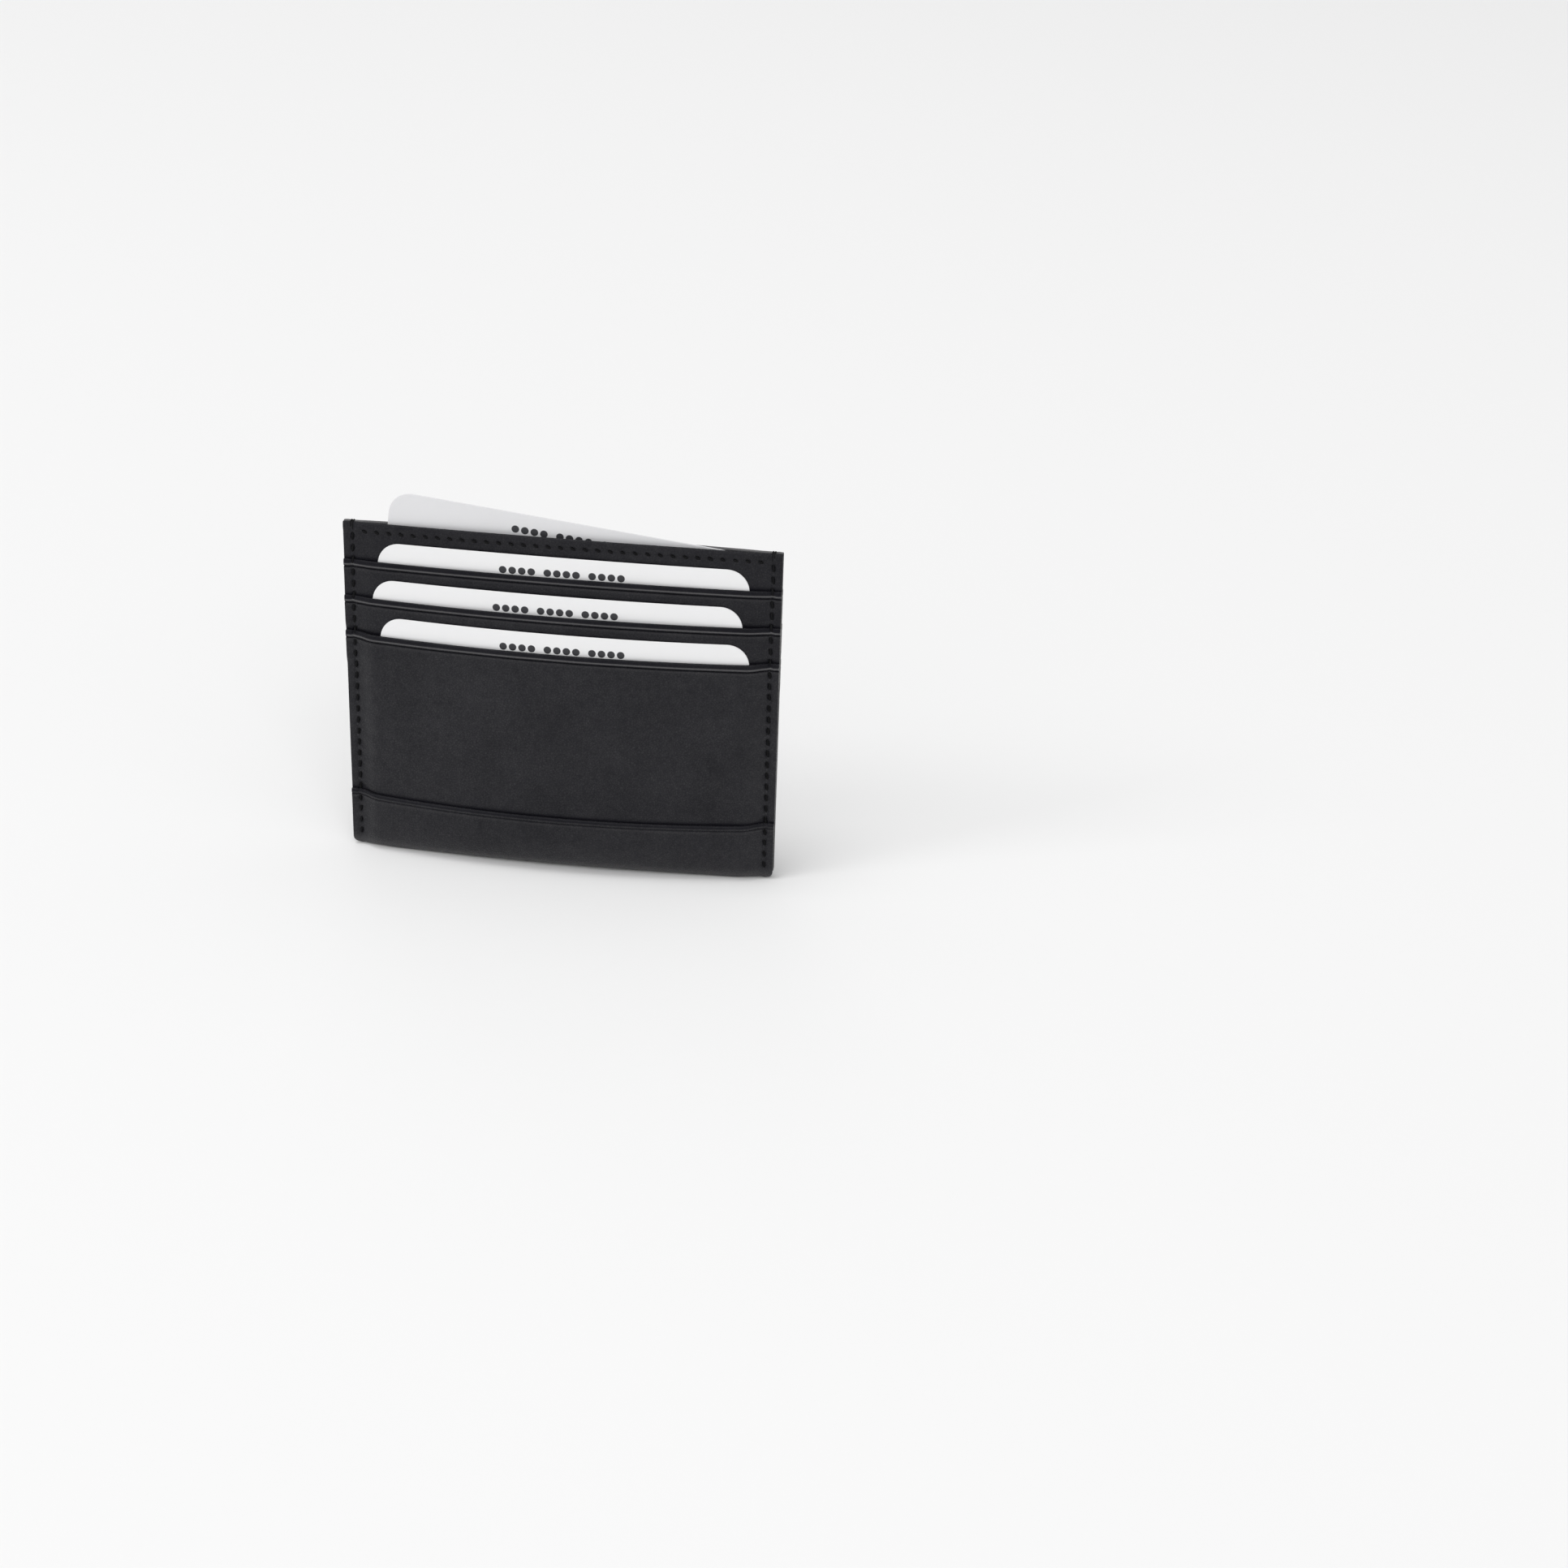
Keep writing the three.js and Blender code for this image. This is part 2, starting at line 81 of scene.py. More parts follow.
def reach(cad_name, side, x, z):
    """How far the outer face of a CAD node lies from the middle plane, looking in from that side."""
    far = 50
    start = Vector((x, side * far, z)) * MM
    place = tree_of(cad_name).ray_cast(start, Vector((0, -side, 0)))[0]
    return side * place.y / MM if place else math.nan


HALF_WIDTH = high("outer_wrap")[0]
TOP = high("front_base_panel")[2]
SLOT_EDGES = {
    1: high("front_slot_strip_1")[2],
    2: high("front_slot_strip_2")[2],
    3: high("front_pocket_panel")[2],
}
LIP_TOP = max(p[2] for p in vertices("outer_wrap") if p[1] < 0)
CLOTH_MARGIN = 0.9
CARD_SIDE = high("front_slot_cloth_1")[0] - CLOTH_MARGIN  # the leather starts to come down to the seam here
SEAM_WIDTH = 2.7
SEAM_START = HALF_WIDTH - SEAM_WIDTH
STITCH_X = (low("front_right_seam_thread")[0] + high("front_right_seam_thread")[0]) / 2
HEM_Z = (low("front_hem_thread")[2] + high("front_hem_thread")[2]) / 2
CARD_SIZE = high("front_card_1") - low("front_card_1")
CARD_WIDTH = CARD_SIZE[0]
CARD_THICKNESS = high("centre_card")[1] - low("centre_card")[1]

# ---- Look sizes, in millimetres ----------------------------------------------------------------------

CREASE_DROP = 1.7  # from a turned edge down to the line creased along it
CREASE_DEPTH = 0.3
BEAD = 0.2  # how far the turned edge above the crease stands out
STITCH_PITCH = 2.85
LIP_CREASE_DROP = 1.2
SIDE_STITCH, HEM_STITCH = 0.95, 0.5  # half the length of the slit that a stitch lies in
SIDE_SLOPE, HEM_SLOPE = 0.12, 0.5  # how much it slants
THREAD_RADIUS = 0.29
SLIT_DEPTH = 0.46
SLIT_WIDTH = 0.42
CORNER_ROUND = 1.9  # the holder's lower corners
EDGE_SOFT = 0.22  # rounding of the painted side edges
SEAM_FIRST = 2.4  # heights where the side stitches start and end
SEAM_LAST = TOP - 2.1
HEM_HALF = 46.9  # the hem's stitches reach this far to each side


def ease(t):
    t = np.clip(t, 0, 1)
    return t * t * (3 - 2 * t)


def mix(a, b, t):
    return a + (b - a) * t


def bump(value, width):
    return np.exp(-((value / width) ** 2))


def steps(*stops):
    """Values from the first stop on; each later one is (stop, step), reached in steps of about that."""
    values = [stops[0]]
    for stop, step in stops[1:]:
        count = max(1, round(abs(stop - values[-1]) / step))
        values.extend(np.linspace(values[-1], stop, count + 1)[1:])
    return np.array(values)


def mirrored(half):
    return np.concatenate([-half[::-1], half[half > 0]])


# ---- The shape of the leather ------------------------------------------------------------------------

def across(x, margin, beside, crown):
    """A sheet's reach across the holder: level at the margin, up the drape, and arched over the cards."""
    blur = ((-1.9, 0.12), (-0.95, 0.22), (0, 0.32), (0.95, 0.22), (1.9, 0.12))
    total = 0
    for offset, weight in blur:
        away = np.abs(x + offset)
        drape = ease((SEAM_START - away) / (SEAM_START - CARD_SIDE))
        arch = 1 - np.minimum(1, away / CARD_SIDE) ** 2
        total = total + weight * (mix(margin, beside, drape) + (crown - beside) * arch)
    return total


class Skin:
    """The outer face of a CAD sheet, read at the margin, beside the cards and at the crown, and smoothed."""

    def __init__(self, cad_name, side, bottom, top):
        self.z = np.arange(bottom + 0.25, top, 0.5)
        self.margin = self.read(cad_name, side, HALF_WIDTH - 1, 3)
        self.beside = self.read(cad_name, side, CARD_SIDE, 9)
        self.crown = self.read(cad_name, side, 0.5, 15)

    def read(self, cad_name, side, x, window):
        """Its reach at x, averaged over a window of that many readings."""
        values = np.array([reach(cad_name, side, x, z) for z in self.z])
        window = min(window, len(values) // 2 * 2 - 1)
        padded = np.pad(values, window // 2, mode="edge")
        return np.convolve(padded, np.ones(window) / window, mode="valid")

    def outer(self, x, z):
        read = [np.interp(z, self.z, values) for values in (self.margin, self.beside, self.crown)]
        return across(x, *read)


def waves(x, z, seed, size=0.13):
    """The gentle unevenness of a soft skin, never below zero."""
    random = np.random.default_rng(seed)
    count = 7
    total = 0
    for _ in range(count):
        length = random.uniform(9, 26)
        angle = random.uniform(0, math.pi)
        phase = random.uniform(0, math.tau)
        total = total + np.sin((x * math.cos(angle) + z * math.sin(angle)) * math.tau / length + phase)
    return size * (0.5 + total / (2 * count))


def turned_edge(drop, crease):
    """Relief below a turned edge: a soft bead, the creased line under it, and the leather rising again."""
    bead = BEAD * np.sin(math.pi * np.clip(drop / crease, 0, 1)) ** 0.7
    line = CREASE_DEPTH * (crease / CREASE_DROP) ** 3 * bump(drop - crease, 0.15)
    shoulder = 0.07 * bump(drop - crease - 0.5, 0.4)
    return bead - line + shoulder


def turned_edge_shading(drop, crease, painted_highlight=1):
    """Painted highlight and shade along a turned edge: light where positive and dark where negative.

    The top and the crease are painted dark as shade, with a painted highlight line between them and a
    fainter one below the crease."""
    light = 0.85 * painted_highlight * bump(drop - 0.64 * crease, 0.16) + 0.1 * bump(drop - crease - 0.45, 0.25)
    dark = 0.8 * (1 - ease((drop - 0.36 * crease) / (0.2 * crease))) + bump(drop - crease, 0.17)
    return light - dark


def gap_shade(rise):
    """Painted shade on a sheet just above the edge of the one sewn over it: dark in the gap and fading
    upwards, dark where that sheet covers it, and no painted highlight there.
    """
    return -1.1 * np.where(rise > 0, bump(rise, 0.6), 1)


def stitch_relief(along, aside, first, last, half, slope):
    """Relief round a row of stitches: a valley, a slit for each stitch, and puckers between them."""
    count = round((last - first) / STITCH_PITCH)
    pitch = (last - first) / count
    index = np.clip(np.floor((along - first) / pitch), 0, count - 1)
    from_middle = along - (first + (index + 0.5) * pitch)
    inside = ease((along - first + 0.6) / 0.6) * ease((last + 0.6 - along) / 0.6)
    valley = 0.12 * bump(aside, 0.9)
    slanted = aside - slope * np.clip(from_middle, -half, half)
    slit = SLIT_DEPTH * np.exp(-((from_middle / half) ** 4)) * bump(slanted, SLIT_WIDTH)
    pucker = -0.09 * np.cos(math.tau * from_middle / pitch) * bump(np.abs(slanted) - 0.8, 0.55)
    return inside * (pucker - valley - slit)


def side_seam(x, z):
    """The side seams' stitch relief, and the faint pulls that run from it into the panel."""
    aside = STITCH_X - np.abs(x)
    relief = stitch_relief(z, aside, SEAM_FIRST, SEAM_LAST, SIDE_STITCH, SIDE_SLOPE)
    drawn = np.sin(z * math.tau / 5.7 + x * 0.5) + 0.7 * np.sin(z * math.tau / 3.1 - x * 0.8 + 1)
    pulls = 0.04 * drawn * ease(aside / 1.3) * bump(aside - 1.3, 4.5)
    margin = 0.1 * bump(np.abs(x) - (STITCH_X + HALF_WIDTH) / 2, 0.7)
    return relief + pulls + margin


# ---- Mesh building -----------------------------------------------------------------------------------

def new_piece(name, points, faces, materials, slots=None, body="holder", painted_shading=None, sharp=50):
    mesh = bpy.data.meshes.new(name)
    mesh.from_pydata((np.asarray(points) * MM).tolist(), [], faces)
    mesh.polygons.foreach_set("use_smooth", [True] * len(mesh.polygons))
    for material in materials:
        mesh.materials.append(material)
    if slots is not None:
        mesh.polygons.foreach_set("material_index", slots)
    # The painted highlight and shade, kept as a point attribute for the leather material.
    if painted_shading is not None:
        attribute = mesh.attributes.new("painted_shading", "FLOAT", "POINT")
        attribute.data.foreach_set("value", np.asarray(painted_shading, np.float32))
    mesh.set_sharp_from_angle(angle=math.radians(sharp))
    mesh.update()
    piece = bpy.data.objects.new(name, mesh)
    bpy.context.scene.collection.objects.link(piece)
    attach(piece, body)
    return piece


def surface_normals(grid):
    down = np.gradient(grid, axis=0)
    along = np.gradient(grid, axis=1)
    normal = np.cross(along, down)
    return normal / np.linalg.norm(normal, axis=2, keepdims=True)


ARC = 6  # steps round a sheet's rounded edges


def closed_sheet(name, grid, relief, thickness, replaced, painted_shading, painted_edge_shading):
    """A leather sheet with both faces, from the grid of its outer face, whose rows run along X.

    Its first and last rows are rounded edges, and its ends are cut square and painted."""
    normal = surface_normals(grid)
    outwards = np.sign(grid[0, grid.shape[1] // 2, 1])
    if normal[0, grid.shape[1] // 2, 1] * outwards < 0:
        normal = -normal
    x = grid[0, :, 0]
    into = np.clip((np.abs(x) - (x[-1] - EDGE_SOFT)) / EDGE_SOFT, 0, 1)
    soft = 0.3 * thickness * (1 - np.sqrt(1 - into**2))
    outer = grid + normal * (relief - soft)[..., None]
    inner = grid + normal * (np.minimum(relief, 0) - thickness + soft)[..., None]
    middle_gap = 0.02
    near_middle = np.abs(grid[..., 1]) < 1
    kept_clear = np.sign(grid[..., 1]) * np.maximum(np.abs(inner[..., 1]), middle_gap)
    inner[..., 1] = np.where(near_middle, kept_clear, inner[..., 1])

    def edge(end, before):
        tangent = grid[end] - grid[before]
        tangent /= np.linalg.norm(tangent, axis=1, keepdims=True)
        centre = (outer[end] + inner[end]) / 2
        half = (outer[end] - inner[end]) / 2
        size = np.linalg.norm(half, axis=1, keepdims=True)
        rows = []
        for step in range(1, ARC):
            angle = math.pi * step / ARC
            rows.append(centre + half * math.cos(angle) + tangent * size * math.sin(angle))
        return rows

    last_edge = edge(-1, -2)
    first_edge = edge(0, 1)
    ring = [*outer, *last_edge, *inner[::-1], *first_edge[::-1]]
    points = np.concatenate(ring)
    columns = len(x)
    count = len(ring)
    rows = len(outer)
    index = np.arange(count * columns).reshape(count, columns)
    nxt = np.roll(index, -1, axis=0)
    quads = np.stack([index[:, :-1], index[:, 1:], nxt[:, 1:], nxt[:, :-1]], axis=-1).reshape(-1, 4)
    caps = []
    for column, facing in ((0, 1), (columns - 1, -1)):
        front = index[:rows, column]
        behind = index[rows + ARC - 1:rows + ARC - 1 + rows, column][::-1]
        for row in range(rows - 1):
            caps.append([front[row], front[row + 1], behind[row + 1], behind[row]][::facing])
        caps.append([front[-1], *index[rows:rows + ARC - 1, column], behind[-1]][::facing])
        start = index[count - ARC + 1:, column]
        caps.append([behind[0], *start, front[0]][::facing])
    faces = [face[::-1] for face in quads.tolist()] + [[int(v) for v in face][::-1] for face in caps]
    slots = [0] * len(quads) + [1] * len(caps)
    # The rounded edges get their own painted highlight or shade, the inner face none.
    along_edge = [np.full(columns, painted_edge_shading)] * (ARC - 1)
    painted_shading_values = np.concatenate([*painted_shading, *along_edge, *(0 * painted_shading), *along_edge])
    piece = new_piece(name, points, faces, [LEATHER, EDGE_PAINT], slots, painted_shading=painted_shading_values)
    face_outwards(piece)
    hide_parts(replaced)
    return piece


def face_outwards(piece):
    """Turns every face outwards if the closed mesh is inside out."""
    mesh = piece.data
    mesh.calc_loop_triangles()
    corners = np.array([t.vertices for t in mesh.loop_triangles])
    points = np.array([v.co for v in mesh.vertices])
    a, b, c = (points[corners[:, n]] for n in range(3))
    if np.einsum("ij,ij->i", a, np.cross(b, c)).sum() < 0:
        mesh.flip_normals()


# ---- Materials ---------------------------------------------------------------------------------------

def new_material(name, base, roughness, specular=0.5):
    material = bpy.data.materials.new(name)
    material.use_nodes = True
    shader = material.node_tree.nodes["Principled BSDF"]
    shader.inputs["Base Color"].default_value = (*base, 1)
    shader.inputs["Roughness"].default_value = roughness
    shader.inputs["Specular IOR Level"].default_value = specular
    return material, material.node_tree, shader


def node(tree, kind, inputs=None, **settings):
    made = tree.nodes.new(kind)
    for key, value in settings.items():
        setattr(made, key, value)
    for key, value in (inputs or {}).items():
        if isinstance(value, bpy.types.NodeSocket):
            tree.links.new(value, made.inputs[key])
        else:
            made.inputs[key].default_value = value
    return made


def object_place(tree):
    return node(tree, "ShaderNodeTexCoord").outputs["Object"]


def noise(tree, place, size, detail=3, roughness=0.5):
    """Noise with features of about that size in millimetres."""
    inputs = {"Vector": place, "Scale": 1 / (size * MM), "Detail": detail, "Roughness": roughness}
    return node(tree, "ShaderNodeTexNoise", inputs).outputs["Fac"]


def ranged(tree, value, low_out, high_out, low_in=0.0, high_in=1.0):
    taken = {"Value": value, "From Min": low_in, "From Max": high_in}
    given = {"To Min": low_out, "To Max": high_out}
    return node(tree, "ShaderNodeMapRange", {**taken, **given}).outputs["Result"]


def calculate(tree, operation, a, b):
    return node(tree, "ShaderNodeMath", {0: a, 1: b}, operation=operation).outputs[0]


def mixed(tree, share, first, second):
    inputs = {"Fac": share, "Color1": first, "Color2": second}
    return node(tree, "ShaderNodeMixRGB", inputs).outputs[0]


def bumped(tree, height, distance, normal=None):
    """Bump whose height of 1 stands for that many millimetres."""
    inputs = {"Height": height, "Distance": distance * MM, "Strength": 1}
    if normal is not None:
        inputs["Normal"] = normal
    return node(tree, "ShaderNodeBump", inputs).outputs["Normal"]


def leather_material():
    material, tree, shader = new_material("black_leather", (0.008, 0.008, 0.009), 0.45, specular=0.2)
    place = object_place(tree)
    warp = node(tree, "ShaderNodeTexNoise", {"Vector": place, "Scale": 1 / (1.1 * MM), "Detail": 2})
    shift = {"Fac": 0.0006, "Color1": place, "Color2": warp.outputs["Color"]}
    moved = node(tree, "ShaderNodeMixRGB", shift, blend_type="ADD").outputs[0]
    cells = {"Vector": moved, "Scale": 1 / (0.55 * MM)}
    pebbles = node(tree, "ShaderNodeTexVoronoi", cells, feature="DISTANCE_TO_EDGE")
    grain = ranged(tree, pebbles.outputs["Distance"], 0, 1, 0, 0.3)
    fine = noise(tree, place, 0.3, detail=4, roughness=0.6)
    coarse = noise(tree, place, 1.9, detail=4)
    pores = node(tree, "ShaderNodeTexVoronoi", {"Vector": place, "Scale": 1 / (1.3 * MM)}, feature="F1")
    pore = ranged(tree, pores.outputs["Distance"], 0, 1, 0.05, 0.16)
    normal = None
    for height, depth in ((grain, 0.035), (fine, 0.025), (coarse, 0.09), (pore, 0.02)):
        normal = bumped(tree, height, depth, normal)
    tree.links.new(normal, shader.inputs["Normal"])

    # Painted highlight and shade: the shading attribute lightens the colour and keeps the reflection where
    # positive, and lowers the reflection as painted shade where negative.
    painted_shading_values = node(tree, "ShaderNodeAttribute", attribute_name="painted_shading").outputs["Fac"]
    cloudy = noise(tree, place, 14, detail=4)
    tone = mixed(tree, cloudy, (0.0038, 0.0037, 0.0058, 1), (0.0094, 0.0091, 0.0124, 1))
    # the pale colour mixed in here is a painted highlight
    painted_highlight = mixed(tree, painted_shading_values, tone, (0.1, 0.098, 0.101, 1))
    tree.links.new(painted_highlight, shader.inputs["Base Color"])
    above = node(tree, "ShaderNodeSeparateXYZ", {"Vector": place}).outputs["Z"]
    reflected = 0.345
    for factor in (
        ranged(tree, fine, 0.74, 1.26, 0.3, 0.7),
        ranged(tree, coarse, 0.88, 1.12, 0.3, 0.7),
        ranged(tree, cloudy, 0.87, 1.13, 0.3, 0.7),
        ranged(tree, grain, 0.66, 1),
        # painted shade: less reflection from 52 mm up, so the upper strips look darker
        ranged(tree, above, 1, 0.82, 52 * MM, 72 * MM),
        # painted shade: less reflection where the shading attribute is negative
        ranged(tree, painted_shading_values, 1, 0.25, 0, -1),
    ):
        reflected = calculate(tree, "MULTIPLY", factor, reflected)
    tree.links.new(reflected, shader.inputs["Specular IOR Level"])
    shine = ranged(tree, calculate(tree, "ADD", cloudy, ranged(tree, grain, 0.25, 0)), 0.34, 0.48, 0.2, 0.9)
    polished = calculate(tree, "SUBTRACT", shine, ranged(tree, painted_shading_values, 0, 0.08))
    tree.links.new(polished, shader.inputs["Roughness"])
    shader.inputs["Sheen Weight"].default_value = 0.04
    shader.inputs["Sheen Roughness"].default_value = 0.4
    return material


def edge_paint_material():
    material, tree, shader = new_material("edge_paint", (0.009, 0.009, 0.0095), 0.36, specular=0.4)
    place = object_place(tree)
    tree.links.new(bumped(tree, noise(tree, place, 0.5, detail=4), 0.03), shader.inputs["Normal"])
    tree.links.new(ranged(tree, noise(tree, place, 3), 0.28, 0.46), shader.inputs["Roughness"])
    return material


def thread_material():
    material, tree, shader = new_material("black_thread", (0.0025, 0.0025, 0.003), 0.6, specular=0.12)
    place = object_place(tree)
    fibres = noise(tree, place, 0.05, detail=4, roughness=0.7)
    tree.links.new(bumped(tree, fibres, 0.02), shader.inputs["Normal"])
    tree.links.new(ranged(tree, fibres, 0.45, 0.7), shader.inputs["Roughness"])
    shader.inputs["Sheen Weight"].default_value = 0.03
    return material


def cloth_material(name, dark, light, pitch):
    material, tree, shader = new_material(name, light, 0.85, specular=0.2)
    place = object_place(tree)
    bands = []
    for direction in ("X", "Z"):
        wave = node(
            tree,
            "ShaderNodeTexWave",
            {"Vector": place, "Scale": 0.05 * 2 * math.pi / (pitch * MM), "Distortion": 0.4, "Detail": 1},
            wave_type="BANDS",
            bands_direction=direction,
        )
        bands.append(wave.outputs["Fac"])
    weave = calculate(tree, "MULTIPLY", bands[0], bands[1])
    tree.links.new(bumped(tree, weave, 0.05), shader.inputs["Normal"])
    blotch = calculate(tree, "MULTIPLY", weave, noise(tree, place, 6))
    tree.links.new(mixed(tree, blotch, (*dark, 1), (*light, 1)), shader.inputs["Base Color"])
    shader.inputs["Sheen Weight"].default_value = 0.2
    return material


def card_material(name, dark, light):
    material, tree, shader = new_material(name, light, 0.36, specular=0.45)
    place = object_place(tree)
    orange_peel = noise(tree, place, 0.9, detail=2)
    tree.links.new(bumped(tree, orange_peel, 0.004), shader.inputs["Normal"])
    tree.links.new(ranged(tree, noise(tree, place, 9, detail=4), 0.3, 0.44), shader.inputs["Roughness"])
    tone = mixed(tree, noise(tree, place, 25), (*dark, 1), (*light, 1))
    tree.links.new(tone, shader.inputs["Base Color"])
    return material


def print_material():
    material, tree, shader = new_material("card_print", (0.03, 0.03, 0.034), 0.5, specular=0.3)
    specks = noise(tree, object_place(tree), 0.12, detail=3)
    tone = mixed(tree, specks, (0.022, 0.022, 0.026, 1), (0.05, 0.05, 0.055, 1))
    tree.links.new(tone, shader.inputs["Base Color"])
    return material


LEATHER = leather_material()
EDGE_PAINT = edge_paint_material()
THREAD = thread_material()
LINING = cloth_material("lining_cloth", (0.012, 0.0095, 0.008), (0.11, 0.09, 0.074), 0.3)
POCKET_CLOTH = cloth_material("pocket_cloth", (0.003, 0.003, 0.003), (0.016, 0.016, 0.017), 0.25)
CARD = card_material("white_card", (0.79, 0.79, 0.795), (0.81, 0.81, 0.815))
CENTRE_CARD = card_material("pale_grey_card", (0.67, 0.67, 0.685), (0.72, 0.72, 0.73))
PRINT = print_material()

# ---- Leather sheets ----------------------------------------------------------------------------------

NEAR_STITCHES = [(STITCH_X - 2, 0.5), (STITCH_X - 1.1, 0.25), (STITCH_X + 1.1, 0.14)]
TO_THE_SIDE = [*NEAR_STITCHES, (HALF_WIDTH - EDGE_SOFT, 0.25), (HALF_WIDTH, EDGE_SOFT / 4)]
SIDE_COLUMNS = mirrored(steps(0, (38, 1.6), *TO_THE_SIDE))
HEM_COLUMNS = mirrored(steps(0, (STITCH_X - 2, 0.28), *TO_THE_SIDE[1:]))
STITCHED_STEP = 0.28
EDGE_STEP = 0.1


def standing_grid(columns, rows, side, outer):
    x, z = np.meshgrid(columns, rows)
    return np.stack([x, side * outer(x, z), z], axis=-1)


def ending_round(rows, thickness):
    """The same rows ending half a thickness short of the edge, which the rounded edge then reaches."""
    last = rows[-1] - thickness / 2
    return np.append(rows[rows < last - 0.03], last)


def edge_rows(bottom, fine_from, edge):
    """Rows of a sheet with a turned top edge: coarse where it is hidden, and fine from fine_from up."""
    crease_from = edge - CREASE_DROP - 0.8
    return steps(bottom, (fine_from, 2.5), (crease_from, STITCHED_STEP), (edge, EDGE_STEP))


def sheet_thickness(cad_name, side, x, z):
    """A CAD sheet's own thickness there, seen from the middle plane and from outside."""
    start = Vector((x, 0, z)) * MM
    place = tree_of(cad_name).ray_cast(start, Vector((0, side, 0)))[0]
    return reach(cad_name, side, x, z) - side * place.y / MM


def turned_sheet(cad_name, side, columns, rows, seed, over, creased=True, extra=None):
    """A sheet of one face with its turned edge at the top; over is the height of the edge sewn over it."""
    edge = rows[-1]
    skin = Skin(cad_name, side, rows[0], edge)
    thickness = min(sheet_thickness(cad_name, side, 0.5, edge - 3), skin.margin[-1] - 0.04)
    rows = ending_round(rows, thickness)
    grid = standing_grid(columns, rows, side, skin.outer)
    x, z = grid[..., 0], grid[..., 2]
    relief = side_seam(x, z) + waves(x, z, seed)
    if creased:
        relief = relief + turned_edge(edge - z, CREASE_DROP)
    if extra is not None:
        relief = relief + extra(x, z)
    # Painted highlight and shade along the turned edge, and painted shade in the gap above the edge sewn
    # over it.
    painted_shading = turned_edge_shading(edge - z, CREASE_DROP) if creased else 0 * z
    painted_shading = painted_shading + gap_shade(z - over)
    name = cad_name.replace("_panel", "_leather").replace("_strip", "_leather")
    # Painted shade on the tops of turned edges; on the base panels, a painted highlight along the back one's
    # top edge and faint painted shade along the front one's.
    painted_edge_shading = -0.6 if creased else (1 if side == BACK else -0.3)
    return closed_sheet(name, grid, relief, thickness, cad_name, painted_shading, painted_edge_shading)


def hem_relief(x, z):
    """The hem's stitch row, and the swelling of the turned leather over it."""
    row = stitch_relief(x, HEM_Z - z, -HEM_HALF, HEM_HALF, HEM_STITCH, HEM_SLOPE)
    row = row * (np.abs(x) < HEM_HALF + 1.2)
    swelling = 0.2 * np.sin(math.pi * np.clip((TOP - z) / (TOP - HEM_Z), 0, 1))
    return row + swelling



def lip_half(x, z):
    """The wrap's corners are rounded off: x scaled to the half width at that height."""
    drop = np.clip(CORNER_ROUND - z, 0, CORNER_ROUND)
    shorter = CORNER_ROUND - np.sqrt(CORNER_ROUND**2 - drop**2)
    return x * (1 - shorter / HALF_WIDTH * ease((np.abs(x) - HALF_WIDTH + 6) / 6))


def wrap():
    """The one leather that is the front lip, the bottom fold and the back pocket panel."""
    fold_rise, fold_flat, crown_flat = 10, 1.6, 0.3  # where the cards fill it
    seam_rise, seam_flat, seam_lift = 1.9, 0.45, 0.12  # in the flat side seams
    blend_width = 7
    thickness = sheet_thickness("outer_wrap", BACK, 0.5, 30)
    back = Skin("outer_wrap", BACK, fold_rise, SLOT_EDGES[3])
    front = Skin("outer_wrap", FRONT, fold_rise, LIP_TOP)
    angles = np.radians(np.concatenate([np.arange(0, 90, 4.5), [90]]))
    lip_rows = ending_round(edge_rows(fold_rise, fold_rise, LIP_TOP), thickness)
    back_rows = ending_round(edge_rows(fold_rise, fold_rise, SLOT_EDGES[3]), thickness)
    path = [(FRONT, z, None) for z in lip_rows[::-1]]
    path += [(FRONT, None, angle) for angle in angles[::-1][1:]]
    path += [(BACK, None, angle) for angle in angles[:-1]]
    path += [(BACK, z, None) for z in back_rows]
    x = SIDE_COLUMNS
    filled = ease((SEAM_START - np.abs(x)) / blend_width)
    bulging = 1 - np.minimum(1, np.abs(x) / CARD_SIDE) ** 2
    flat = mix(seam_flat, fold_flat + crown_flat * bulging, filled)
    rise = mix(seam_rise, fold_rise, filled)
    lift = mix(seam_lift, 0, filled)
    grid, drop = [], []
    for side, z, angle in path:
        skin = front if side == FRONT else back
        if angle is None:
            height = np.full(len(x), z)
            level = skin.outer(x, height)
        else:
            full = skin.outer(x, np.full(len(x), fold_rise))
            climb = 1 - math.cos(angle)
            height = lift + (fold_rise - lift) * climb
            share = np.sqrt(1 - np.clip(1 - (height - lift) / rise, 0, 1) ** 2)
            level = mix(flat, full, share)
        grid.append(np.stack([lip_half(x, height), side * level, height], axis=-1))
        edge = LIP_TOP if side == FRONT else SLOT_EDGES[3]
        drop.append(edge - height)
    grid = np.array(grid)
    drop = np.array(drop)
    columns = np.broadcast_to(x, drop.shape)
    crease = np.where(grid[..., 1] < 0, LIP_CREASE_DROP, CREASE_DROP)
    relief = side_seam(columns, grid[..., 2]) + turned_edge(drop, crease)
    relief += waves(columns, drop, 5) * ease((grid[..., 2] - 0.2) / 3)
    # Painted highlight and shade along the turned edges, the lip's highlight kept faint, a painted
    # reflection along the bottom fold, and painted shade on the rounded edges.
    painted_shading = turned_edge_shading(drop, crease, np.where(grid[..., 1] < 0, 0.1, 1))
    painted_shading = painted_shading + 0.25 * bump(grid[..., 2] - 1, 1.5)
    closed_sheet("outer_wrap_leather", grid, relief, thickness, "outer_wrap", painted_shading, -0.6)


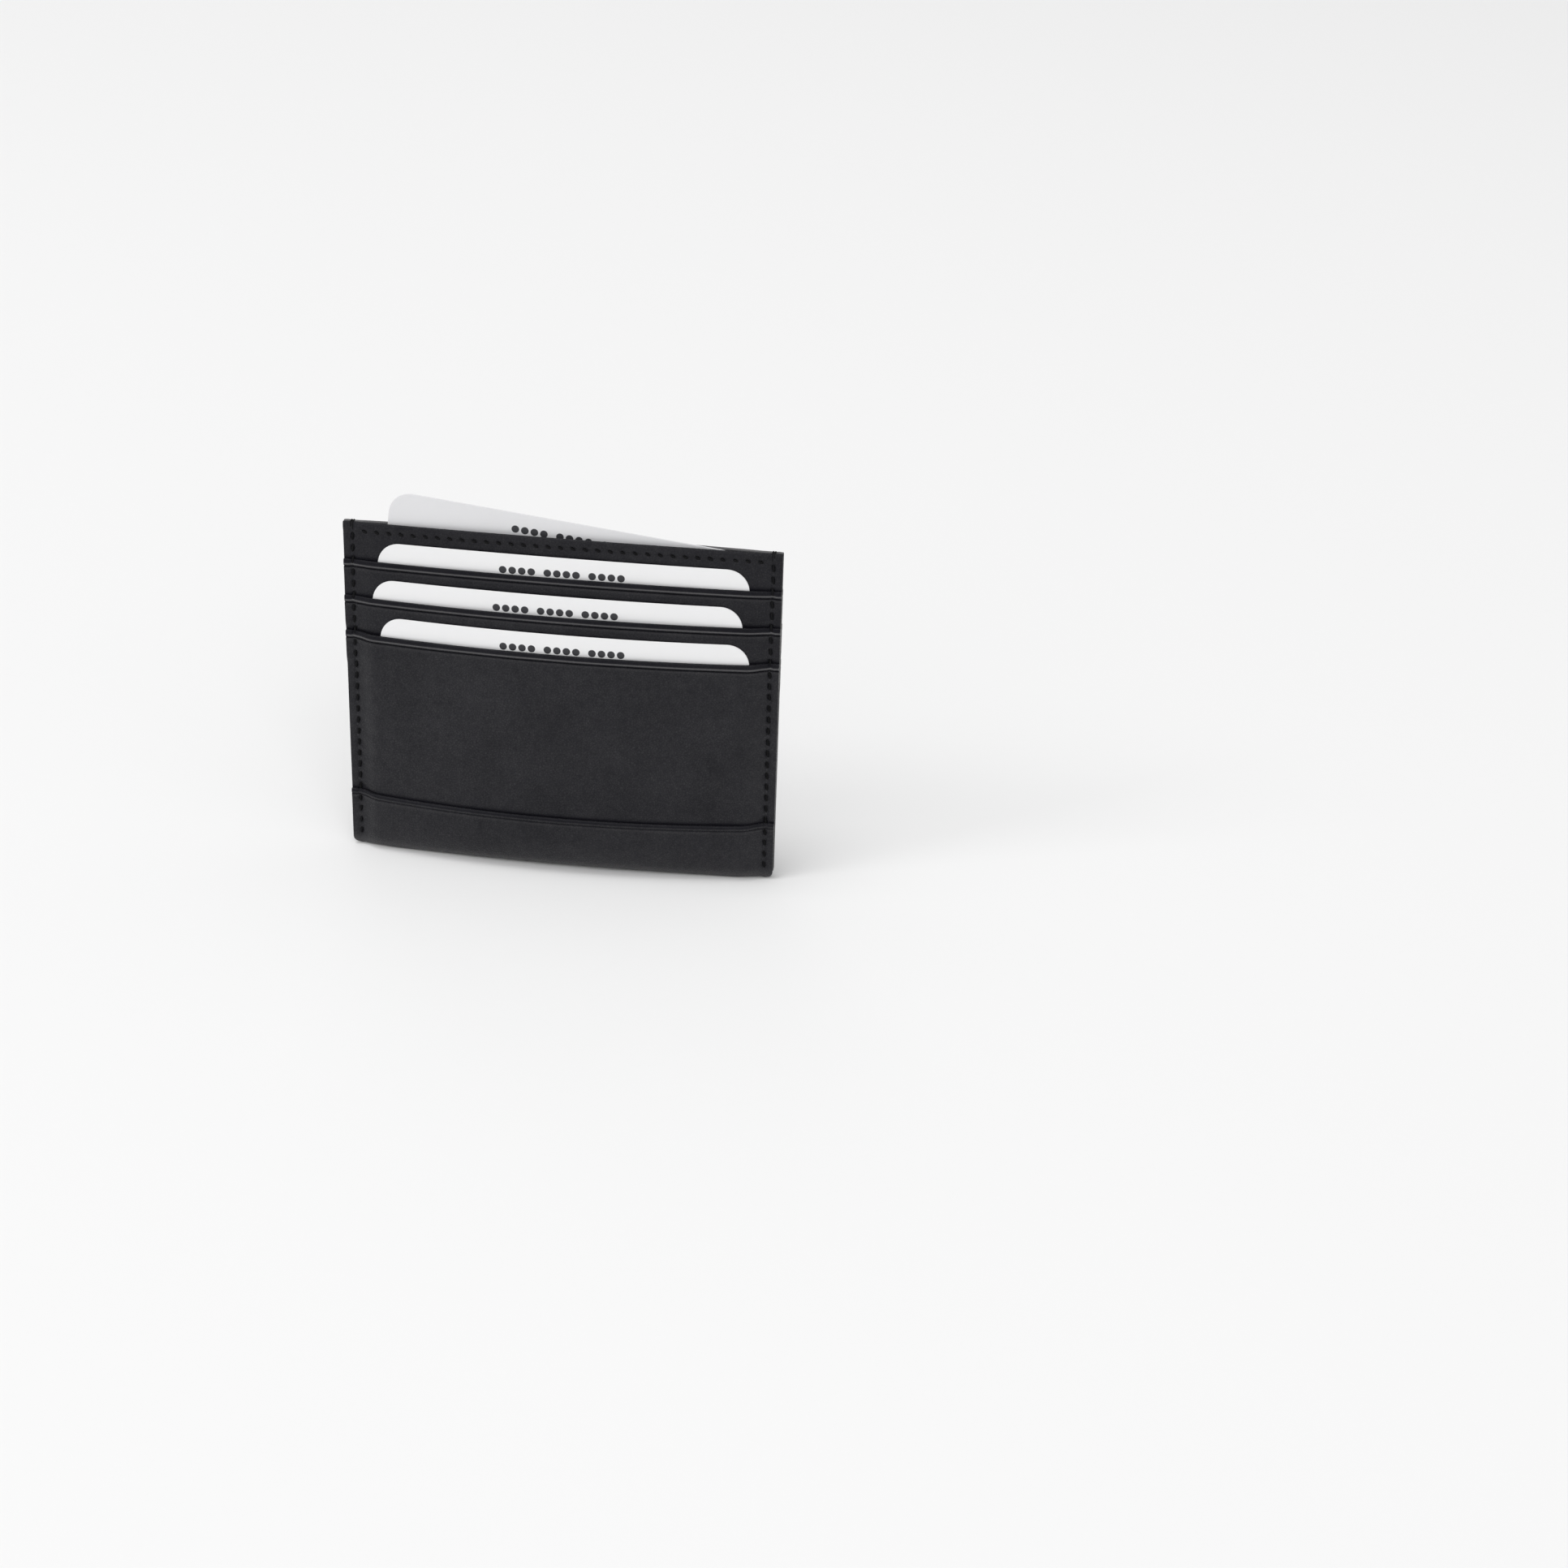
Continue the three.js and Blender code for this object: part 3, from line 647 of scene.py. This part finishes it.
def leather():
    wrap()
    panel_rows = edge_rows(LIP_TOP - 5, LIP_TOP - 1, SLOT_EDGES[3])
    turned_sheet("front_pocket_panel", FRONT, SIDE_COLUMNS, panel_rows, seed=1, over=LIP_TOP)
    for seed, (face, side) in enumerate(FACES.items()):
        for slot in (1, 2):
            strip = f"{face}_slot_strip_{slot}"
            rows = edge_rows(low(strip)[2], SLOT_EDGES[slot + 1] - 1, SLOT_EDGES[slot])
            waves_seed = 10 + 2 * seed + slot
            turned_sheet(strip, side, SIDE_COLUMNS, rows, seed=waves_seed, over=SLOT_EDGES[slot + 1])
        base = f"{face}_base_panel"
        hem_rows = ((HEM_Z - 1.2, 0.35), (TOP - 0.5, 0.16), (TOP, 0.1))
        rows = steps(low(base)[2], (SLOT_EDGES[1] - 1, 6), *hem_rows)
        hem = {"creased": False, "extra": hem_relief}
        turned_sheet(base, side, HEM_COLUMNS, rows, seed=20 + seed, over=SLOT_EDGES[1], **hem)


# ---- Stitches ----------------------------------------------------------------------------------------

SIDES = 10  # round a thread
TWIST = 5.2  # turn of the plies for each millimetre, in radians
PLY_DEPTH = 0.13  # how far the plies stand out, as a share of the thread's radius
SUNK_ENDS, SUNK_MIDDLE = 0.66, 0.27  # how far a stitch lies below the leather's face


def thread_tube(points, radius=THREAD_RADIUS):
    """A two-ply thread along points, its ends closed: vertices and faces."""
    points = np.asarray(points, float)
    tangent = np.gradient(points, axis=0)
    tangent /= np.linalg.norm(tangent, axis=1, keepdims=True)
    side = np.cross(tangent, [0.31, 0.52, 0.79])
    side /= np.linalg.norm(side, axis=1, keepdims=True)
    other = np.cross(tangent, side)
    travelled = np.concatenate([[0], np.cumsum(np.linalg.norm(np.diff(points, axis=0), axis=1))])
    angle = np.linspace(0, math.tau, SIDES, endpoint=False)
    plies = 1 + PLY_DEPTH * np.cos(2 * (angle[None, :] - TWIST * travelled[:, None]))
    to_end = np.minimum(travelled, travelled[-1] - travelled)
    round_end = np.sqrt(np.clip(to_end / radius, 0.05, 1))
    size = radius * plies * round_end[:, None]
    ring = side[:, None] * np.cos(angle)[None, :, None] + other[:, None] * np.sin(angle)[None, :, None]
    vertices_made = (points[:, None] + ring * size[..., None]).reshape(-1, 3)
    faces = []
    for row in range(len(points) - 1):
        for n in range(SIDES):
            m = (n + 1) % SIDES
            a, b = row * SIDES, (row + 1) * SIDES
            faces.append([a + n, a + m, b + m, b + n])
    faces.append(list(range(SIDES))[::-1])
    faces.append([(len(points) - 1) * SIDES + n for n in range(SIDES)])
    return vertices_made, faces


def joined(parts):
    points, faces, offset = [], [], 0
    for made, its_faces in parts:
        points.append(made)
        faces.extend([[v + offset for v in face] for face in its_faces])
        offset += len(made)
    return np.concatenate(points), faces


def stitches(first, last, half, place, slope):
    """A row of stitches: place(along, aside, lift) gives the point of a spot on the row."""
    count = round((last - first) / STITCH_PITCH)
    pitch = (last - first) / count
    made = []
    for n in range(count):
        t = np.linspace(-1, 1, 11)
        along = first + pitch * (n + 0.5) + (half + 0.1) * t
        lift = mix(-SUNK_ENDS, -SUNK_MIDDLE, np.cos(math.pi / 2 * t) ** 0.5)
        made.append(thread_tube([place(a, slope * half * step, h) for a, step, h in zip(along, t, lift)]))
    return made


def margin_reach(side, z):
    """The reach of the outermost sheet at the side stitches, softened where a sheet's edge steps it."""
    total = 0
    offsets = (-0.6, -0.3, 0, 0.3, 0.6)
    for offset in offsets:
        height = z + offset
        if side == FRONT and height < LIP_TOP:
            cad_name = "outer_wrap"
        elif height < SLOT_EDGES[3]:
            cad_name = "front_pocket_panel" if side == FRONT else "outer_wrap"
        elif height < SLOT_EDGES[1]:
            slot = 2 if height < SLOT_EDGES[2] else 1
            cad_name = f"{'front' if side == FRONT else 'back'}_slot_strip_{slot}"
        else:
            cad_name = f"{'front' if side == FRONT else 'back'}_base_panel"
        total += reach(cad_name, side, HALF_WIDTH - 1, min(height, TOP - 0.1))
    return total / len(offsets)


def seam_thread(face, side, hand):
    def place(along, aside, lift):
        return [hand * (STITCH_X - aside), side * (margin_reach(side, along) + lift), along]

    made = stitches(SEAM_FIRST, SEAM_LAST, SIDE_STITCH, place, SIDE_SLOPE)
    if side == FRONT:
        made += edge_whips(hand)
    cad_name = f"{face}_{'left' if hand < 0 else 'right'}_seam_thread"
    points, faces = joined(made)
    name = cad_name.replace("seam_thread", "side_stitching")
    piece = new_piece(name, points, faces, [THREAD], sharp=180)
    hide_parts(cad_name)


def edge_whips(hand):
    """The seam's last stitches, which go over the holder's top edge from the front to the back."""
    made = []
    for n, aside in enumerate((-0.26, 0.24)):
        x = hand * (STITCH_X + aside)
        height = TOP - 1.9 + 0.5 * n
        front = margin_reach(FRONT, TOP - 1) + 0.08
        back = margin_reach(BACK, TOP - 1) + 0.08
        over = 0.06
        climb = [(-front + 0.5, height), (-front, height + 0.3), (-front - 0.02, TOP - 0.5)]
        turn = [(-front * 0.7, TOP + over * 0.85), (0, TOP + over), (back * 0.7, TOP + over * 0.85)]
        fall = [(back + 0.02, TOP - 0.5), (back, height + 0.3), (back - 0.5, height)]
        corners = np.array(climb + turn + fall)
        t = np.linspace(0, len(corners) - 1, 41)
        y, z = (smooth_curve(corners[:, axis], t) for axis in (0, 1))
        made.append(thread_tube(np.stack([np.full(len(t), x), y, z], axis=-1), radius=0.2))
    return made


def smooth_curve(values, t):
    """Catmull-Rom through values at the whole numbers."""
    padded = np.concatenate([values[:1], values, values[-1:]])
    n = np.clip(np.floor(t).astype(int), 0, len(values) - 2)
    u = t - n
    a, b, c, d = (padded[n + k] for k in range(4))
    return 0.5 * (2 * b + (c - a) * u + (2 * a - 5 * b + 4 * c - d) * u**2 + (3 * b - a - 3 * c + d) * u**3)


def cross_thread(side, cad_name, half, surface):
    """A row of stitches across the holder, along the CAD thread's height."""
    z = (low(cad_name)[2] + high(cad_name)[2]) / 2

    def place(along, aside, lift):
        return [along, side * (surface(along) + lift), z - aside]

    points, faces = joined(stitches(-half, half, HEM_STITCH, place, HEM_SLOPE))
    name = cad_name.replace("thread", "stitching")
    piece = new_piece(name, points, faces, [THREAD], sharp=180)
    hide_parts(cad_name)


def threads():
    for face, side in FACES.items():
        for hand in (-1, 1):
            seam_thread(face, side, hand)
        base = Skin(f"{face}_base_panel", side, HEM_Z - 8, HEM_Z - 1)
        cross_thread(side, f"{face}_hem_thread", HEM_HALF, lambda x: float(base.outer(x, HEM_Z - 1)))
        for slot in (1, 2):
            sewn = f"{face}_slot_{slot}_bottom_thread"
            just_in = 0.2
            height = low(sewn)[2] + just_in
            cross_thread(side, sewn, CARD_SIDE - 0.6, lambda x: reach(sewn, side, x, height) - just_in)


# ---- Cloth -------------------------------------------------------------------------------------------

CLOTH_SLACK = 0.02  # how far the waves of the cloth's slackness stand out


def cloth_piece(name, cad_name, material):
    """A finer copy of a CAD cloth, with the small slackness of thin cloth."""
    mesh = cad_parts[cad_name].data.copy()
    mesh.name = name
    work = bmesh.new()
    work.from_mesh(mesh)
    bmesh.ops.remove_doubles(work, verts=work.verts, dist=0.001 * MM)
    long_edges = [edge for edge in work.edges if edge.calc_length() > 3 * MM]
    bmesh.ops.subdivide_edges(work, edges=long_edges, cuts=3, use_grid_fill=True)
    for vertex in work.verts:
        x, z = vertex.co.x / MM, vertex.co.z / MM
        if abs(x) < CARD_SIDE:
            slack = math.sin(x * 0.9 + 2.1 * math.sin(z * 0.23)) * math.sin(z * 0.37)
            vertex.co.y += CLOTH_SLACK * MM * slack
    bmesh.ops.recalc_face_normals(work, faces=work.faces)
    work.to_mesh(mesh)
    work.free()
    mesh.materials.clear()
    mesh.materials.append(material)
    mesh.polygons.foreach_set("material_index", [0] * len(mesh.polygons))
    mesh.polygons.foreach_set("use_smooth", [True] * len(mesh.polygons))
    mesh.set_sharp_from_angle(angle=math.radians(40))
    piece = bpy.data.objects.new(name, mesh)
    bpy.context.scene.collection.objects.link(piece)
    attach(piece, "holder")
    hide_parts(cad_name)


def cloths():
    cloth_piece(
        "centre_pocket_cloth", "centre_pocket_lining", LINING,
    )
    for face in FACES:
        for slot in (1, 2):
            cad_name = f"{face}_slot_cloth_{slot}"
            cloth_piece(
                f"{face}_slot_{slot}_pocket_cloth", cad_name, POCKET_CLOTH,
            )


# ---- Cards -------------------------------------------------------------------------------------------

CARD_CORNER = 5.2
CARD_BEVEL = 0.06
PRINT_DROP = 3.9  # printed row's middle, below the card's top edge
DOT_RADIUS = 0.9
DOT_PITCH = 2.2
DOT_GROUPS = 3
DOTS_IN_GROUP = 4
GROUP_GAP = 1.5


def card_mesh(bend):
    """A card about its own middle: bend(x) gives the y of its inner and outer face at x."""
    half_w, half_h = CARD_SIZE[0] / 2, CARD_SIZE[2] / 2
    straight = half_w - CARD_CORNER
    round_part = straight + CARD_CORNER * np.sin(np.radians(np.linspace(0, 90, 13)))
    x = mirrored(np.concatenate([np.linspace(0, straight, 20)[:-1], round_part]))
    into = np.clip(np.abs(x) - straight, 0, CARD_CORNER)
    tall = half_h - CARD_CORNER + np.sqrt(np.maximum(0, CARD_CORNER**2 - into**2))
    rows = np.linspace(-1, 1, 9)
    near, far = bend(x)
    middle = (near + far) / 2
    half_thick = np.abs(far - near) / 2
    edge = 1 - CARD_BEVEL / (CARD_THICKNESS / 2)
    # round the section from the bottom: up one face, over the top edge, down the other face, and under
    layers = [(row * (tall - CARD_BEVEL), 1) for row in rows]
    layers += [(tall, edge), (tall, -edge)]
    layers += [(row * (tall - CARD_BEVEL), -1) for row in rows[::-1]]
    layers += [(-tall, -edge), (-tall, edge)]
    points = np.array([np.stack([x, middle + half_thick * depth, z], axis=-1) for z, depth in layers])
    count, columns = points.shape[:2]
    index = np.arange(count * columns).reshape(count, columns)
    nxt = np.roll(index, -1, axis=0)
    quads = np.stack([index[:, :-1], nxt[:, :-1], nxt[:, 1:], index[:, 1:]], axis=-1)
    quads = quads.reshape(-1, 4).tolist()
    flat = len(rows)
    for column, facing in ((0, -1), (columns - 1, 1)):
        front = index[:flat, column]
        behind = index[flat + 2:2 * flat + 2, column][::-1]
        for row in range(flat - 1):
            side = [front[row], front[row + 1], behind[row + 1], behind[row]]
            quads.append([int(v) for v in side[::facing]])
        top = [front[-1], index[flat, column], index[flat + 1, column], behind[-1]]
        bottom = [behind[0], index[-2, column], index[-1, column], front[0]]
        quads.append([int(v) for v in top[::facing]])
        quads.append([int(v) for v in bottom[::facing]])
    return points.reshape(-1, 3), quads


def printed_dots(surface, outward):
    """Rows of printed dots, in groups, as flat discs just proud of the card's face."""
    ink, sides, taper = 0.012, 20, 0.97
    width = DOT_GROUPS * (DOTS_IN_GROUP - 1) * DOT_PITCH + (DOT_GROUPS - 1) * (DOT_PITCH + GROUP_GAP)
    middle_z = CARD_SIZE[2] / 2 - PRINT_DROP
    parts = []
    for group in range(DOT_GROUPS):
        for n in range(DOTS_IN_GROUP):
            steps_along = group * (DOTS_IN_GROUP - 1) + n
            x = -width / 2 + steps_along * DOT_PITCH + group * (DOT_PITCH + GROUP_GAP)
            angle = np.linspace(0, math.tau, sides, endpoint=False)
            xs = x + DOT_RADIUS * np.cos(angle)
            zs = middle_z + DOT_RADIUS * np.sin(angle)
            ys = surface(xs)
            under = np.stack([xs, ys - outward * ink, zs], axis=-1)
            over_x, over_z = mix(x, xs, taper), mix(middle_z, zs, taper)
            over = np.stack([over_x, ys + outward * ink, over_z], axis=-1)
            faces = [list(range(sides)), [sides + k for k in range(sides)][::-1]]
            for k in range(sides):
                m = (k + 1) % sides
                faces.append([k, sides + k, sides + m, m])
            parts.append((np.concatenate([under, over]), faces))
    return joined(parts)


def add_card(cad_name, bend, matrix):
    """A card and its print, from shapes about the card's own middle, placed by matrix."""
    outward = BACK if cad_name.startswith("back") else FRONT
    blank = CENTRE_CARD if cad_name == "centre_card" else CARD
    dots = printed_dots(lambda x: bend(x)[0 if outward == FRONT else 1], outward)
    for suffix, (points, faces), material in (("blank", card_mesh(bend), blank), ("print", dots, PRINT)):
        placed = np.array([matrix @ Vector(p) for p in points])
        name = f"{cad_name}_{suffix}"
        piece = new_piece(name, placed, faces, [material], body=cad_name, sharp=30)
        face_outwards(piece)
        if suffix == "blank":
            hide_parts(cad_name)


def arched(shift, crown, arch, side):
    """The bend of a card in a slot, whose middle has slipped by shift from the middle of the arch."""
    def bend(x):
        level = crown - arch * (((x + shift) / CARD_SIDE) ** 2 - (shift / CARD_SIDE) ** 2)
        faces_y = side * level, side * (level - CARD_THICKNESS)
        return min(faces_y, key=np.mean), max(faces_y, key=np.mean)

    return bend


def cards():
    for face, side in FACES.items():
        for slot in (1, 2, 3):
            cad_name = f"{face}_card_{slot}"
            middle = (low(cad_name) + high(cad_name)) / 2
            outer_crown = reach(cad_name, side, middle[0], middle[2])
            tip = CARD_SIZE[0] / 2 - 0.5
            outer_side = reach(cad_name, side, middle[0] - math.copysign(tip, middle[0]), middle[2])
            spread = (tip - abs(middle[0])) ** 2 - middle[0] ** 2
            arch = (outer_crown - outer_side) * CARD_SIDE**2 / spread
            bend = arched(middle[0], outer_crown, arch, side)
            add_card(cad_name, bend, Matrix.Translation((middle[0], 0, middle[2])))
    middle = (low("centre_card") + high("centre_card")) / 2
    half = (high("centre_card") - low("centre_card")) / 2 - CARD_CORNER
    long, short = CARD_WIDTH / 2 - CARD_CORNER, CARD_SIZE[2] / 2 - CARD_CORNER
    tilt = math.asin((long * half[2] - short * half[0]) / (long**2 - short**2))
    flat = (-CARD_THICKNESS / 2, CARD_THICKNESS / 2)
    matrix = Matrix.Translation(middle) @ Matrix.Rotation(tilt, 4, "Y")
    add_card("centre_card", lambda x: (flat[0] + 0 * x, flat[1] + 0 * x), matrix)


# ---- Stage -------------------------------------------------------------------------------------------

def camera():
    """A long lens from 26 degrees above and a little to the right, with the holder left of the middle."""
    place = Vector((120.29, -604.59, 327.72)) * MM
    yaw, pitch, roll = math.radians(-6.412), math.radians(26.49), math.radians(1.968)
    data = bpy.data.cameras.new("camera")
    data.lens, data.sensor_width = 67.08, 36
    data.clip_start, data.clip_end = 0.01, 100
    eye = bpy.data.objects.new("camera", data)
    aim = Matrix.Rotation(-yaw, 4, "Z") @ Matrix.Rotation(math.pi / 2 - pitch, 4, "X")
    eye.matrix_world = Matrix.Translation(place) @ aim @ Matrix.Rotation(roll, 4, "Z")
    bpy.context.scene.collection.objects.link(eye)
    bpy.context.scene.camera = eye


def floor():
    size = 60
    mesh = bpy.data.meshes.new("floor")
    corners = [(-size, -size, 0), (size, -size, 0), (size, size, 0), (-size, size, 0)]
    mesh.from_pydata(corners, [], [(0, 1, 2, 3)])
    material, tree, shader = new_material("floor", (0.87, 0.87, 0.87), 0.85, specular=0.1)
    mottle = noise(tree, object_place(tree), 900, detail=1)
    tone = mixed(tree, mottle, (0.865, 0.865, 0.865, 1), (0.875, 0.875, 0.875, 1))
    tree.links.new(tone, shader.inputs["Base Color"])
    mesh.materials.append(material)
    plane = bpy.data.objects.new("floor", mesh)
    bpy.context.scene.collection.objects.link(plane)


def area_light(name, place, target, size, power):
    data = bpy.data.lights.new(name, "AREA")
    data.shape, data.size, data.energy = "SQUARE", size, power
    light = bpy.data.objects.new(name, data)
    direction = Vector(target) - Vector(place)
    turn = direction.to_track_quat("-Z", "Y").to_matrix().to_4x4()
    light.matrix_world = Matrix.Translation(place) @ turn
    bpy.context.scene.collection.objects.link(light)


def lights():
    world = bpy.data.worlds.new("studio")
    world.use_nodes = True
    tree = world.node_tree
    background = tree.nodes["Background"]
    direction = node(tree, "ShaderNodeTexCoord").outputs["Generated"]
    facing = node(tree, "ShaderNodeSeparateXYZ", {"Vector": direction})
    overhead = ranged(tree, facing.outputs["Z"], 0.46, 0.66, 0.05, 0.75)
    from_front = ranged(tree, facing.outputs["Y"], 1.5, 0.5, -0.7, 0.7)
    strength = calculate(tree, "MULTIPLY", overhead, from_front)
    tree.links.new(strength, background.inputs["Strength"])
    background.inputs["Color"].default_value = (1, 1, 1, 1)
    bpy.context.scene.world = world
    area_light("overhead", (-0.9, -0.4, 4), (0, 0, 0.03), 1.7, 50)
    area_light("left", (-4.2, -2.4, 3), (0, 0, 0.05), 1.6, 46)
    area_light("front", (1.5, -4.2, 3.6), (0, 0, 0.05), 2.4, 52)
    area_light("rear", (-1.5, 4.2, 3.2), (0, 0, 0.05), 2.2, 12)
    bpy.context.scene.view_settings.view_transform = "Standard"


camera()
floor()
lights()
leather()
threads()
cloths()
cards()
